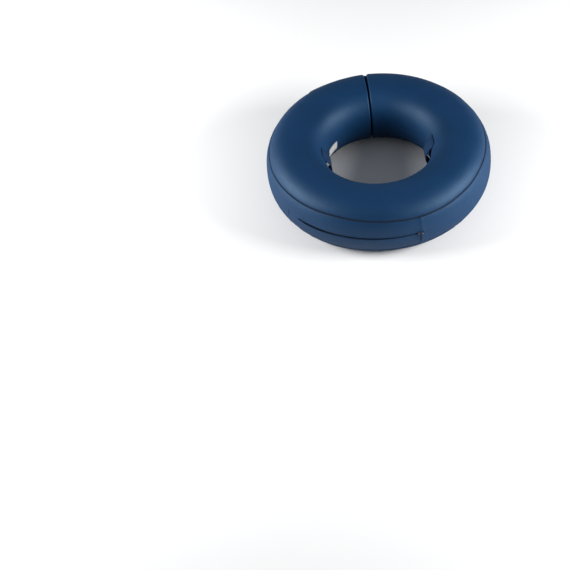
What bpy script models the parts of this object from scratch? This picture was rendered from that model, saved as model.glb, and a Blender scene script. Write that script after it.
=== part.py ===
"""Inflatable ring collar for a pet: a fabric cover in three ring panels over an air bladder.

The ring lies flat with its axis on Z and its underside at Z = 0. Azimuth 0 is the front (-Y) and
positive azimuth runs towards +X. The ring is split at the back, azimuth 180, where a hook-and-loop
flap joins its two ends. The soft ring flexes in two places, so cover, seams and bladder are each
made in a front section and two arm sections. Sizes are in metres, angles in degrees.
"""

import math

import bmesh
import bpy
from mathutils import Matrix, Vector

# The ring
OUTER_RADIUS = 0.170
TUBE_WIDTH = 0.090
TUBE_HEIGHT = 0.096
SQUARENESS = 2.5  # 2 would make the tube's section an ellipse
LAND_ANGLE = 80.0  # the section is flat between this angle and its mirror image, above and below

# The cover
FABRIC = 0.0008
SEAM_ANGLE = 33.5
NECK_SEAM_ANGLE = 242.0  # the top panel wraps over and down the neck wall, to just above the underside
SEAM_GAP_ANGLE = 1.3
THREAD_RADIUS = 0.0006

# Where the ring flexes and where it is split
FLEX_AZIMUTH = 66.0
FLEX_GAP_AZIMUTH = 0.15
ARM_END_AZIMUTH = 179.05
END_PANEL_AZIMUTH = 179.5
FRONT_STEPS = 24
ARM_STEPS = 15

# The bladder
BLADDER_GAP = 0.0025
BLADDER_GAP_AT_ZIP = 0.0053
BLADDER_POINTS = 16
BLADDER_STEP = 11.0

# The zip, in the front of the side band
ZIP_FROM = -51.5
ZIP_TO = 16.0
SLIT_WIDTH = 0.0040
TAPE_DEPTH = 0.00125
TAPE_THICKNESS = 0.0006
COIL_RADIUS = 0.00085
COIL_HEIGHT = 0.0018
SLIDER_AZIMUTH = 14.0
SLIDER_LENGTH = 0.012
SLIDER_WIDTH = 0.008
PULL_WIDTH = 0.0026
PULL_LENGTH = 0.0145
BRIDGE_RADIUS = 0.1730  # of the bridge bar's centre, from the ring's axis

# The hook-and-loop closure, at the back
STRAP_ANGLES = [26, 20, 10, 0, -10, -20, -26]
GRIP_ANGLES = [20, 10, 0, -10, -20]
STRAP_BASE_FROM = 156.0
FLAP_HINGE_AZIMUTH = 178.5
FLAP_TO = 212.0
GRIP_TO = 217.0

# The air valve
VALVE_AZIMUTH = 128.0
VALVE_STEPS = 20
CAP_HINGE_REACH = 0.0082

# The loops inside the neck opening
LOOP_AZIMUTHS = {"front": 0.0, "left": -90.0, "right": 90.0}
LOOP_WIDTH = 0.022
LOOP_HEIGHT = 0.058
LOOP_STAND_OFF = 0.0080
LOOP_THICKNESS = 0.0012
LOOP_POINTS = 11

COLOURS = {
    "cover_fabric": ((0.028, 0.085, 0.225, 1), 0.45, 0.0),
    "seam_thread": ((0.008, 0.018, 0.055, 1), 0.7, 0.0),
    "bladder_film": ((0.42, 0.47, 0.52, 1), 0.3, 0.0),
    "zip_tape": ((0.010, 0.014, 0.030, 1), 0.8, 0.0),
    "zip_metal": ((0.10, 0.11, 0.13, 1), 0.35, 0.9),
    "strap_webbing": ((0.014, 0.035, 0.100, 1), 0.7, 0.0),
    "hook_and_loop": ((0.010, 0.012, 0.018, 1), 0.9, 0.0),
    "valve_plastic": ((0.62, 0.66, 0.70, 1), 0.25, 0.0),
    "label_fabric": ((0.80, 0.80, 0.78, 1), 0.8, 0.0),
}

TUBE_RADIUS = OUTER_RADIUS - TUBE_WIDTH / 2
TOP_ANGLES = [NECK_SEAM_ANGLE - SEAM_GAP_ANGLE, 228, 213, 197, 180, 163, 147, 130, 115, 100, 80, 65, 50]
TOP_ANGLES.append(SEAM_ANGLE + SEAM_GAP_ANGLE)
BOTTOM_ANGLES = [-SEAM_ANGLE - SEAM_GAP_ANGLE, -50, -65, -80, -100, NECK_SEAM_ANGLE + SEAM_GAP_ANGLE - 360]
FRONT_BAND_ANGLES = [32.2, 20, 10.5, 5, 0, -5, -10.5, -20, -32.2]
ARM_BAND_ANGLES = [32.2, 20, 10, 0, -10, -20, -32.2]
TAPE_ANGLES = [10.5, 5, 0.36]
SECTIONS = {
    "front": (-FLEX_AZIMUTH + FLEX_GAP_AZIMUTH, FLEX_AZIMUTH - FLEX_GAP_AZIMUTH, FRONT_STEPS),
    "left": (-ARM_END_AZIMUTH, -FLEX_AZIMUTH - FLEX_GAP_AZIMUTH, ARM_STEPS),
    "right": (FLEX_AZIMUTH + FLEX_GAP_AZIMUTH, ARM_END_AZIMUTH, ARM_STEPS),
}


# ---------------------------------------------------------------- geometry of the ring

def power(value):
    """A sine or cosine bent towards a squarer section."""
    return math.copysign(abs(value) ** (2 / SQUARENESS), value)


MID_HEIGHT = TUBE_HEIGHT / 2 * power(math.sin(math.radians(LAND_ANGLE)))


def section(angle, outset=0.0):
    """(radius, height) on the tube's section: angle 0 is outermost, 90 is on top, 180 is at the neck."""
    turn = math.radians(angle)
    radius = TUBE_RADIUS + (TUBE_WIDTH / 2 + outset) * power(math.cos(turn))
    height = MID_HEIGHT + (TUBE_HEIGHT / 2 + outset) * power(math.sin(turn))
    return radius, height


def neck_wall_radius(height):
    """Radius of the neck wall at a height above the tube's centre line."""
    share = 1 - (abs(height) / (TUBE_HEIGHT / 2)) ** SQUARENESS
    return TUBE_RADIUS - TUBE_WIDTH / 2 * share ** (1 / SQUARENESS)


def radial(azimuth):
    turn = math.radians(azimuth)
    return Vector((math.sin(turn), -math.cos(turn), 0))


def tangent(azimuth):
    """Unit vector towards growing azimuth."""
    turn = math.radians(azimuth)
    return Vector((math.cos(turn), math.sin(turn), 0))


def station(azimuth, radius, height=MID_HEIGHT):
    """Matrix whose X is the tangent, Y is up and Z points outward, at a place on the ring."""
    axes = Matrix((tangent(azimuth), Vector((0, 0, 1)), radial(azimuth))).transposed()
    place = radial(azimuth) * radius + Vector((0, 0, height))
    return Matrix.Translation(place) @ axes.to_4x4()


# ---------------------------------------------------------------- making objects

def clear_scene():
    for obj in list(bpy.data.objects):
        bpy.data.objects.remove(obj, do_unlink=True)


def collection(name):
    made = bpy.data.collections.new(name)
    bpy.context.scene.collection.children.link(made)
    return made


def material(slot):
    found = bpy.data.materials.get(slot)
    if found:
        return found
    colour, roughness, metallic = COLOURS[slot]
    made = bpy.data.materials.new(slot)
    made.use_nodes = True
    shader = made.node_tree.nodes["Principled BSDF"]
    shader.inputs["Base Color"].default_value = colour
    shader.inputs["Roughness"].default_value = roughness
    shader.inputs["Metallic"].default_value = metallic
    made.diffuse_color = colour
    return made


def new_object(name, data, slot, home):
    made = bpy.data.objects.new(name, data)
    home.objects.link(made)
    if slot:
        data.materials.append(material(slot))
    return made


def mesh_object(name, bm, slot, home):
    data = bpy.data.meshes.new(name)
    bm.to_mesh(data)
    bm.free()
    return new_object(name, data, slot, home)


def smooth(obj, angle=40.0):
    obj.data.shade_smooth()
    obj.data.set_sharp_from_angle(angle=math.radians(angle))


def screw(obj, degrees, steps):
    modifier = obj.modifiers.new("Screw", "SCREW")
    modifier.angle = math.radians(degrees)
    modifier.steps = modifier.render_steps = steps
    modifier.use_merge_vertices = degrees == 360
    modifier.merge_threshold = 1e-5
    modifier.use_smooth_shade = True
    return modifier


def cut(obj, cutter):
    modifier = obj.modifiers.new("Cut", "BOOLEAN")
    modifier.operation = "DIFFERENCE"
    modifier.solver = "EXACT"
    modifier.object = cutter


def as_cutter(obj):
    obj.hide_render = True
    obj.display_type = "WIRE"
    return obj


def box_bmesh(centre, size):
    bm = bmesh.new()
    bmesh.ops.create_cube(bm, size=1, matrix=Matrix.Translation(centre) @ Matrix.Diagonal((*size, 1)))
    return bm


def extrude(bm, faces, step):
    """Turns flat faces into a solid that reaches from them by a step."""
    made = bmesh.ops.extrude_face_region(bm, geom=faces, use_keep_orig=True)
    bmesh.ops.translate(bm, verts=[v for v in made["geom"] if isinstance(v, bmesh.types.BMVert)], vec=step)
    bmesh.ops.recalc_face_normals(bm, faces=bm.faces)


# ---------------------------------------------------------------- the kinds of piece

def swept_panel(name, angles, azimuths, steps, slot, outset=0.0, thickness=FABRIC):
    """Sheet that follows the tube's section at an outset and runs round the ring; thickness goes inward."""
    bm = bmesh.new()
    points = [section(angle, outset) for angle in angles]
    verts = [bm.verts.new((radius, 0, height)) for radius, height in points]
    for first, second in zip(verts, verts[1:]):
        bm.edges.new((first, second))
    obj = mesh_object(name, bm, slot, PARTS)
    obj.rotation_euler.z = math.radians(azimuths[0] - 90)
    screw(obj, azimuths[1] - azimuths[0], steps)
    shell = obj.modifiers.new("Solidify", "SOLIDIFY")
    shell.thickness = thickness
    shell.offset = -1
    shell.use_even_offset = True
    return obj


def arc_cord(name, radius, height, azimuths, steps, thickness, slot):
    """Cord of a round section along an arc about the ring's axis."""
    data = bpy.data.curves.new(name, "CURVE")
    data.dimensions = "3D"
    data.bevel_depth = thickness
    data.bevel_resolution = 0
    data.use_fill_caps = True
    line = data.splines.new("POLY")
    line.points.add(steps)
    for index in range(steps + 1):
        azimuth = azimuths[0] + (azimuths[1] - azimuths[0]) * index / steps
        line.points[index].co = (*(radial(azimuth) * radius + Vector((0, 0, height))), 1)
    return new_object(name, data, slot, PARTS)


def flat_piece(name, outlines, width, place, slot):
    """Flat outlines in the radial-vertical plane at a station, as thick as width along the tangent."""
    data = bpy.data.curves.new(name, "CURVE")
    data.dimensions = "2D"
    data.fill_mode = "BOTH"
    data.extrude = width / 2
    for outline in outlines:
        line = data.splines.new("POLY")
        line.points.add(len(outline) - 1)
        line.use_cyclic_u = True
        for point, (outward, up) in zip(line.points, outline):
            point.co = (outward, up, 0, 1)
    obj = new_object(name, data, slot, PARTS)
    outline_to_station = Matrix(((0, 0, -1, 0), (0, 1, 0, 0), (1, 0, 0, 0), (0, 0, 0, 1)))
    obj.matrix_world = place @ outline_to_station
    return obj


def turned(name, profile, place, slot, home=None):
    """Round part about a station's outward axis; its profile of (radius, outward) runs down its outer side."""
    bm = bmesh.new()
    verts = [bm.verts.new((radius, 0, outward)) for radius, outward in profile]
    on_axis = profile[0][0] == 0 and profile[-1][0] == 0
    pairs = list(zip(verts, verts[1:]))
    if not on_axis:
        pairs.append((verts[-1], verts[0]))
    for pair in pairs:
        bm.edges.new(pair)
    obj = mesh_object(name, bm, slot, home or PARTS)
    obj.matrix_world = place
    screw(obj, 360, VALVE_STEPS)
    return obj


# ---------------------------------------------------------------- cover

def cover_section(part, azimuths, steps):
    band_angles = FRONT_BAND_ANGLES if part == "front" else ARM_BAND_ANGLES
    swept_panel(f"cover_top_{part}", TOP_ANGLES, azimuths, steps, "cover_fabric")
    swept_panel(f"cover_bottom_{part}", BOTTOM_ANGLES, azimuths, steps, "cover_fabric")
    band = swept_panel(f"side_band_{part}", band_angles, azimuths, steps, "cover_fabric")
    for seam, angle in (("upper", SEAM_ANGLE), ("lower", -SEAM_ANGLE), ("neck", NECK_SEAM_ANGLE)):
        radius, height = section(angle, -THREAD_RADIUS)
        name = f"{seam}_seam_{part}"
        arc_cord(name, radius, height, azimuths, steps, THREAD_RADIUS, "seam_thread")
    return band


def end_panel(part, azimuth):
    """Fabric disc that closes one end of the cover."""
    angles = TOP_ANGLES + FRONT_BAND_ANGLES + BOTTOM_ANGLES
    outline = [section(angle) for angle in reversed(angles)]
    flat_piece(f"end_panel_{part}", [outline], FABRIC, station(azimuth, 0, 0), "cover_fabric")


def slit_cutter():
    """Curved bar that cuts the zip's slit out of the side band."""
    bm = bmesh.new()
    half = SLIT_WIDTH / 2
    start, depth = ZIP_FROM, 0.006
    corners = [(-depth, -half), (depth, -half), (depth, half), (-depth, half)]
    verts = []
    for outward, up in corners:
        place = radial(start) * (OUTER_RADIUS + outward) + Vector((0, 0, MID_HEIGHT + up))
        verts.append(bm.verts.new(place))
    face = bm.faces.new(verts)
    turn = math.radians(ZIP_TO - ZIP_FROM)
    bmesh.ops.spin(bm, geom=[*verts, *face.edges, face], axis=(0, 0, 1), angle=turn, steps=FRONT_STEPS)
    bmesh.ops.recalc_face_normals(bm, faces=bm.faces)
    return as_cutter(mesh_object("slit_cutter", bm, None, CUTTERS))


def care_label():
    """Blank cloth label, sewn flat on the neck wall."""
    bm = box_bmesh(Vector((0, -0.010, -0.0007)), Vector((0.024, 0.016, 0.0004)))
    obj = mesh_object("care_label", bm, "label_fabric", PARTS)
    obj.matrix_world = station(-125, neck_wall_radius(0) - 0.0012)


# ---------------------------------------------------------------- bladder

def bladder_outline():
    half_width = TUBE_WIDTH / 2 - (BLADDER_GAP + BLADDER_GAP_AT_ZIP) / 2
    half_height = TUBE_HEIGHT / 2 - BLADDER_GAP
    centre = TUBE_RADIUS - (BLADDER_GAP_AT_ZIP - BLADDER_GAP) / 2
    points = []
    for index in range(BLADDER_POINTS):
        turn = 2 * math.pi * (index + 0.5) / BLADDER_POINTS
        radius = centre + half_width * power(math.cos(turn))
        points.append((radius, MID_HEIGHT + half_height * power(math.sin(turn))))
    return points


def bladder_section(part, start, end):
    """Air-filled tube from start to end, made as one closed solid."""
    bm = bmesh.new()
    verts = []
    for radius, height in bladder_outline():
        verts.append(bm.verts.new(radial(start) * radius + Vector((0, 0, height))))
    face = bm.faces.new(verts)
    steps = round(abs(end - start) / BLADDER_STEP)
    turn = math.radians(end - start)
    bmesh.ops.spin(bm, geom=[*verts, *face.edges, face], axis=(0, 0, 1), angle=turn, steps=steps)
    bmesh.ops.recalc_face_normals(bm, faces=bm.faces)
    obj = mesh_object(f"bladder_{part}", bm, "bladder_film", PARTS)
    smooth(obj)
    return obj


# ---------------------------------------------------------------- zip

def zip_chain():
    azimuths = (ZIP_FROM - 2.5, ZIP_TO + 2.0)
    tape = {"outset": -TAPE_DEPTH, "thickness": TAPE_THICKNESS}
    swept_panel("zip_tape_upper", TAPE_ANGLES, azimuths, 26, "zip_tape", **tape)
    lower = [-angle for angle in reversed(TAPE_ANGLES)]
    swept_panel("zip_tape_lower", lower, azimuths, 26, "zip_tape", **tape)
    radius = OUTER_RADIUS - TAPE_DEPTH - TAPE_THICKNESS - 0.0001 - COIL_RADIUS
    for side, height in (("upper", COIL_HEIGHT), ("lower", -COIL_HEIGHT)):
        name = f"zip_coil_{side}"
        arc_cord(name, radius, MID_HEIGHT + height, (ZIP_FROM, ZIP_TO), 26, COIL_RADIUS, "zip_tape")
        stop = box_bmesh(Vector((0, height, 0)), Vector((0.0018, 0.0020, 0.0016)))
        stop = mesh_object(f"zip_top_stop_{side}", stop, "zip_metal", PARTS)
        stop.matrix_world = station(ZIP_TO + 0.75, radius)
    bar = box_bmesh(Vector((0, 0, 0)), Vector((0.0022, 0.0062, 0.0016)))
    bar = mesh_object("zip_bottom_stop", bar, "zip_metal", PARTS)
    bar.matrix_world = station(ZIP_FROM - 0.75, radius)


def zip_slider():
    """Slider of a concealed zip: a channel behind the tapes and a frame that stands out through the slit."""
    half_length, half_width = SLIDER_LENGTH / 2, SLIDER_WIDTH / 2
    plate_base, plate_top, wall_top = -0.0048, -0.0039, -0.0022
    inner = half_width - 0.0008
    profile = [(plate_base, -half_width), (plate_base, half_width), (wall_top, half_width)]
    profile += [(wall_top, inner), (plate_top, inner), (plate_top, -inner)]
    profile += [(wall_top, -inner), (wall_top, -half_width)]
    bm = bmesh.new()
    start = bm.faces.new([bm.verts.new((-half_length, up, outward)) for outward, up in profile])
    extrude(bm, [start], Vector((SLIDER_LENGTH, 0, 0)))
    slider = mesh_object("zip_slider", bm, "zip_metal", PARTS)
    slider.matrix_world = station(SLIDER_AZIMUTH, OUTER_RADIUS)

    bridge, bar, post = BRIDGE_RADIUS - OUTER_RADIUS, 0.0008, 0.0009
    reach, window = 0.0038, 0.0009
    outer = [(-reach, plate_base + 0.0003), (reach, plate_base + 0.0003)]
    outer += [(reach, bridge + bar / 2), (-reach, bridge + bar / 2)]
    inside = [(post - reach, window), (reach - post, window)]
    inside += [(reach - post, bridge - bar / 2), (post - reach, bridge - bar / 2)]
    bm = bmesh.new()
    rim = [bm.verts.new((along, -bar / 2, outward)) for along, outward in outer]
    hole = [bm.verts.new((along, -bar / 2, outward)) for along, outward in inside]
    faces = [bm.faces.new((rim[i], rim[(i + 1) % 4], hole[(i + 1) % 4], hole[i])) for i in range(4)]
    extrude(bm, faces, Vector((0, bar, 0)))
    frame = as_cutter(mesh_object("slider_frame", bm, None, CUTTERS))
    frame.matrix_world = slider.matrix_world
    join = slider.modifiers.new("Join", "BOOLEAN")
    join.operation = "UNION"
    join.solver = "EXACT"
    join.object = frame


def zip_pull():
    """Tape pull, folded round the bridge bar and hanging down the band."""
    clear, tape = 0.0007, 0.0006
    outer = clear + tape
    outline = [(outer * math.sin(math.radians(a)), outer * math.cos(math.radians(a))) for a in range(-90, 91, 30)]
    outline += [(outer, -outer), (tape, -2.2 * outer), (tape, -PULL_LENGTH + tape), (0, -PULL_LENGTH)]
    outline += [(-tape, -PULL_LENGTH + tape), (-tape, -2.2 * outer), (-outer, -outer)]
    hole = [(clear * math.sin(math.radians(a)), clear * math.cos(math.radians(a))) for a in range(0, 360, 45)]
    place = station(SLIDER_AZIMUTH, BRIDGE_RADIUS)
    flat_piece("zip_pull", [outline, hole], PULL_WIDTH, place, "zip_tape")


# ---------------------------------------------------------------- closure

def closure():
    """Strap sewn to the right arm, whose free flap crosses the split on to a pad on the left arm."""
    base = (STRAP_BASE_FROM, FLAP_HINGE_AZIMUTH)
    swept_panel("strap_base", STRAP_ANGLES, base, 6, "strap_webbing", outset=0.00165, thickness=0.0013)
    pad = (182.5, FLAP_TO - 1)
    swept_panel("loop_pad", STRAP_ANGLES, pad, 8, "hook_and_loop", outset=0.00135, thickness=0.0010)
    hooks = (183.0, FLAP_TO - 3)
    swept_panel("hook_pad", STRAP_ANGLES, hooks, 7, "hook_and_loop", outset=0.00255, thickness=0.0009)
    flap = (FLAP_HINGE_AZIMUTH, FLAP_TO)
    swept_panel("closure_flap", STRAP_ANGLES, flap, 9, "strap_webbing", outset=0.0041, thickness=0.0012)
    grip = (FLAP_TO + 0.12, GRIP_TO)
    swept_panel("flap_grip", GRIP_ANGLES, grip, 2, "valve_plastic", outset=0.0041, thickness=0.0012)


# ---------------------------------------------------------------- valve

def valve(band, bladder):
    place = station(VALVE_AZIMUTH, OUTER_RADIUS)
    bore = [(0, 0.004), (0.0105, 0.004), (0.0105, -0.003), (0, -0.003)]
    cut(band, as_cutter(turned("eyelet_cutter", bore, place, None, CUTTERS)))
    bore = [(0, -0.002), (0.0066, -0.002), (0.0066, -0.0155), (0, -0.0155)]
    cut(bladder, as_cutter(turned("stem_cutter", bore, place, None, CUTTERS)))

    eyelet = [(0.0092, 0.0013), (0.0122, 0.0013), (0.0130, 0.0008), (0.0130, 0.00035)]
    eyelet += [(0.0100, 0.00035), (0.0100, -0.0018), (0.0088, -0.0018), (0.0088, 0.0009)]
    turned("valve_eyelet", eyelet, place, "valve_plastic")

    flange = [(0.0060, -0.0040), (0.0125, -0.0040), (0.0135, -0.0043), (0.0135, -0.0048), (0.0060, -0.0048)]
    turned("valve_flange", flange, place, "valve_plastic")

    stem = [(0.0032, 0.0020), (0.0065, 0.0020), (0.0065, 0.0008), (0.0050, 0.0002), (0.0050, -0.0125)]
    stem += [(0.0054, -0.0130), (0.0054, -0.0140), (0.0032, -0.0140)]
    stem = turned("valve_stem", stem, place, "valve_plastic")
    add_tongue(stem, 0.0008, 0.0020, place)

    cap = [(0, 0.0037), (0.0060, 0.0037), (0.0067, 0.0031), (0.0067, 0.0023), (0.0025, 0.0023)]
    cap += [(0.0022, -0.0012), (0, -0.0012)]
    cap = turned("valve_cap", cap, place, "valve_plastic")
    add_tongue(cap, 0.0023, 0.0035, place)


def add_tongue(obj, low, high, place):
    """Joins a hinge tongue to a turned valve piece, on its lower side."""
    inner = 0.0045
    centre = Vector((0, -(CAP_HINGE_REACH + inner) / 2, (low + high) / 2))
    bm = box_bmesh(centre, Vector((0.0040, CAP_HINGE_REACH - inner, high - low - 0.0002)))
    tongue = as_cutter(mesh_object(f"{obj.name}_tongue", bm, None, CUTTERS))
    tongue.matrix_world = place
    join = obj.modifiers.new("Join", "BOOLEAN")
    join.operation = "UNION"
    join.solver = "EXACT"
    join.object = tongue


# ---------------------------------------------------------------- collar loops

def collar_loop(part, azimuth):
    """Webbing strip sewn above and below, which bows out from the neck wall for the pet's own collar."""
    base_gap = 0.0010
    faces = {"wall": [], "neck": []}
    for index in range(LOOP_POINTS):
        height = LOOP_HEIGHT * (index / (LOOP_POINTS - 1) - 0.5)
        bow = math.cos(math.pi * height / LOOP_HEIGHT) ** 0.8 if 0 < index < LOOP_POINTS - 1 else 0
        stand_off = base_gap + (LOOP_STAND_OFF - base_gap) * bow
        radius = neck_wall_radius(height) - stand_off
        faces["wall"].append((radius, height))
        faces["neck"].append((radius - LOOP_THICKNESS, height))
    outline = faces["wall"] + list(reversed(faces["neck"]))
    place = station(azimuth, 0)
    flat_piece(f"collar_loop_{part}", [outline], LOOP_WIDTH, place, "strap_webbing")


# ---------------------------------------------------------------- the whole collar

def build():
    bands = {part: cover_section(part, (start, end), steps) for part, (start, end, steps) in SECTIONS.items()}
    cut(bands["front"], slit_cutter())
    end_panel("left", -END_PANEL_AZIMUTH)
    end_panel("right", END_PANEL_AZIMUTH)
    care_label()

    bladder_end = ARM_END_AZIMUTH - 1.2
    bladder_start = FLEX_AZIMUTH + FLEX_GAP_AZIMUTH
    bladder_section("front", -FLEX_AZIMUTH + FLEX_GAP_AZIMUTH, FLEX_AZIMUTH - FLEX_GAP_AZIMUTH)
    bladder_section("left", -bladder_start, -bladder_end)
    bladder = bladder_section("right", bladder_start, bladder_end)

    zip_chain()
    zip_slider()
    zip_pull()
    closure()
    valve(bands["right"], bladder)
    for part, azimuth in LOOP_AZIMUTHS.items():
        collar_loop(part, azimuth)


clear_scene()
PARTS = collection("ring_collar")
CUTTERS = collection("cutters")
build()
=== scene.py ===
"""Looks of the inflatable ring collar.

Azimuth 0 is the front (-Y) and grows towards +X; the split is at azimuth 180. Lengths are in metres
and angles in degrees. A place on the tube's surface is an azimuth and a distance along the section,
which starts at the outermost point and runs up, over the top and down the neck wall.
"""

import math

import bpy
import numpy as np
from mathutils import Matrix, Vector


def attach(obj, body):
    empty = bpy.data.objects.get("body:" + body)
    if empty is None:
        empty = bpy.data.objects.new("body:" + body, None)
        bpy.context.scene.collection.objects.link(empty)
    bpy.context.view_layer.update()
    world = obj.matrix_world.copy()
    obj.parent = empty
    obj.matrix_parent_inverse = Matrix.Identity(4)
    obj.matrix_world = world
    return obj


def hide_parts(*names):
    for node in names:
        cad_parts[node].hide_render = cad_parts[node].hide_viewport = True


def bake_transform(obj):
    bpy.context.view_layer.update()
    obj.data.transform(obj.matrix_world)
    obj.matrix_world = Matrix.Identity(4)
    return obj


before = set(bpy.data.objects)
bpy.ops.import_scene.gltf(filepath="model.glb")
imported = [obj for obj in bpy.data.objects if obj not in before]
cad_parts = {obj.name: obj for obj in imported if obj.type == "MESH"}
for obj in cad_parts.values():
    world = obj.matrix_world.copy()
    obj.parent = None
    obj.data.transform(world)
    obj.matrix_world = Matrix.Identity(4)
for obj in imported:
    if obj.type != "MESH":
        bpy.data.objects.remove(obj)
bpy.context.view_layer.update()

# ---- the ring's shape

TUBE_RADIUS, HALF_WIDTH, HALF_HEIGHT, SQUARENESS = 0.125, 0.045, 0.048, 2.5
FLAT_FROM = 80  # section angle below the middle where the flat underside starts
OUTER = TUBE_RADIUS + HALF_WIDTH
NECK = TUBE_RADIUS - HALF_WIDTH
MID = HALF_HEIGHT * math.sin(math.radians(FLAT_FROM)) ** (2 / SQUARENESS)
SEAM, NECK_SEAM = 33.5, 242.0  # section angles of the outer seams, above and below, and of the neck seam
ARM_END = 179.3
END_ROLL = 0.0030  # radius of the rounded edge at the split
SPLIT_FRONT = 16.8  # where the left and the right skins meet
ZIP_FROM, ZIP_TO = -51.5, 16.2
SLIT_HALF = 0.0018
FOLD_AT, TACK_AT = -58.2, 14.9  # upright folds of the band, left and right of the slit
SLIDER_AT, BRIDGE_RADIUS = 14.0, 0.1730
VALVE_AT, VALVE_HOLE = 128.0, 0.0097
LOOPS = {"front": 0.0, "left": -90.0, "right": 90.0}
LABEL_AT = -125.0
STRAP_FROM, FLAP_HINGE_AT, FLAP_TO = 156.0, 178.5, 212.0
GRIP_FROM, GRIP_TO = 211.0, 217.0
FLOOR_GAP = 0.0003  # least height of the cover


def section_table():
    """Angles, distances along the section from the outermost point, radii and heights."""
    angle = np.radians(np.linspace(0, 360, 14401))
    c, s = np.cos(angle), np.sin(angle)
    radius = TUBE_RADIUS + HALF_WIDTH * np.sign(c) * np.abs(c) ** (2 / SQUARENESS)
    height = MID + HALF_HEIGHT * np.sign(s) * np.abs(s) ** (2 / SQUARENESS)
    along = np.concatenate([[0], np.cumsum(np.hypot(np.diff(radius), np.diff(height)))])
    return np.degrees(angle), along, radius, height


ANGLES, ALONG, RADII, HEIGHTS = section_table()
GIRTH = ALONG[-1]


def along_at(angle):
    return float(np.interp(angle, ANGLES, ALONG))


STRAP_HALF, GRIP_HALF = along_at(26), along_at(20)
WALL = along_at(180)  # the neck wall's middle


def section(along):
    """Radius, height and outward normal (radial, up) at distances along the section."""
    s = np.mod(along, GIRTH)
    e = 2e-4
    r, h = np.interp(s, ALONG, RADII), np.interp(s, ALONG, HEIGHTS)
    s1, s0 = np.mod(along + e, GIRTH), np.mod(along - e, GIRTH)
    tr = np.interp(s1, ALONG, RADII) - np.interp(s0, ALONG, RADII)
    th = np.interp(s1, ALONG, HEIGHTS) - np.interp(s0, ALONG, HEIGHTS)
    size = np.hypot(tr, th)
    return r, h, th / size, -tr / size


def on_ring(azimuth, along, outset=0.0):
    """Points at azimuths and distances along the section, raised off the surface by outset."""
    r, h, nr, nh = section(np.asarray(along, float))
    turn = np.radians(azimuth)
    radius = r + nr * outset
    height = np.maximum(h + nh * outset, FLOOR_GAP)
    return np.stack(np.broadcast_arrays(radius * np.sin(turn), -radius * np.cos(turn), height), axis=-1)


def radial(azimuth):
    turn = math.radians(azimuth)
    return Vector((math.sin(turn), -math.cos(turn), 0))


def tangent(azimuth):
    turn = math.radians(azimuth)
    return Vector((math.cos(turn), math.sin(turn), 0))


def station(azimuth, radius, height=MID):
    """Matrix whose X is the tangent, Y is up and Z points outward, at a place on the ring."""
    axes = Matrix((tangent(azimuth), Vector((0, 0, 1)), radial(azimuth))).transposed()
    place = radial(azimuth) * radius + Vector((0, 0, height))
    return Matrix.Translation(place) @ axes.to_4x4()


# ---- smooth noise

def noise(x, y, seed):
    """Smooth value noise from -1 to 1, one bump per unit."""
    table = np.random.default_rng(seed).uniform(-1, 1, (256, 256))
    x0, y0 = np.floor(x).astype(int), np.floor(y).astype(int)
    fx, fy = x - x0, y - y0
    fx, fy = fx * fx * (3 - 2 * fx), fy * fy * (3 - 2 * fy)
    a, b = table[x0 % 256, y0 % 256], table[(x0 + 1) % 256, y0 % 256]
    c, d = table[x0 % 256, (y0 + 1) % 256], table[(x0 + 1) % 256, (y0 + 1) % 256]
    return (a * (1 - fx) + b * fx) * (1 - fy) + (c * (1 - fx) + d * fx) * fy


# ---- mesh helpers

def mesh_object(name, verts, faces, material):
    data = bpy.data.meshes.new(name)
    data.from_pydata([tuple(v) for v in verts], [], [tuple(f) for f in faces])
    data.update()
    obj = bpy.data.objects.new(name, data)
    bpy.context.scene.collection.objects.link(obj)
    data.materials.append(material)
    data.shade_smooth()
    return obj


def grid_faces(rows, columns, closed=False):
    """Quads of a grid whose vertex (i, j) has index i * columns + j, facing first axis x second axis."""
    i, j = np.meshgrid(np.arange(rows - 1), np.arange(columns if closed else columns - 1), indexing="ij")
    a, b = i * columns + j, i * columns + (j + 1) % columns
    return np.stack([a, a + columns, b + columns, b], axis=-1).reshape(-1, 4)


def tube_faces(rows, columns):
    """Faces of a closed tube of rings, with both of its ends."""
    total = rows * columns
    ends = [tuple(range(columns)), tuple(range(total - 1, total - columns - 1, -1))]
    return [tuple(f) for f in grid_faces(rows, columns, True)] + ends


def set_uv(obj, uv):
    layer = obj.data.uv_layers.new(name="Cloth")
    index = np.zeros(len(obj.data.loops), np.int32)
    obj.data.loops.foreach_get("vertex_index", index)
    layer.data.foreach_set("uv", np.asarray(uv, np.float32).reshape(-1, 2)[index].ravel())


def set_attribute(obj, name, values):
    attribute = obj.data.attributes.new(name, "FLOAT", "POINT")
    attribute.data.foreach_set("value", np.asarray(values, np.float32).ravel())


def face_outward(obj, direction):
    """Flips an open sheet whose faces look the other way."""
    total = sum((p.normal * p.area for p in obj.data.polygons), Vector())
    if total.dot(direction) < 0:
        obj.data.flip_normals()


# ---- materials

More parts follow.
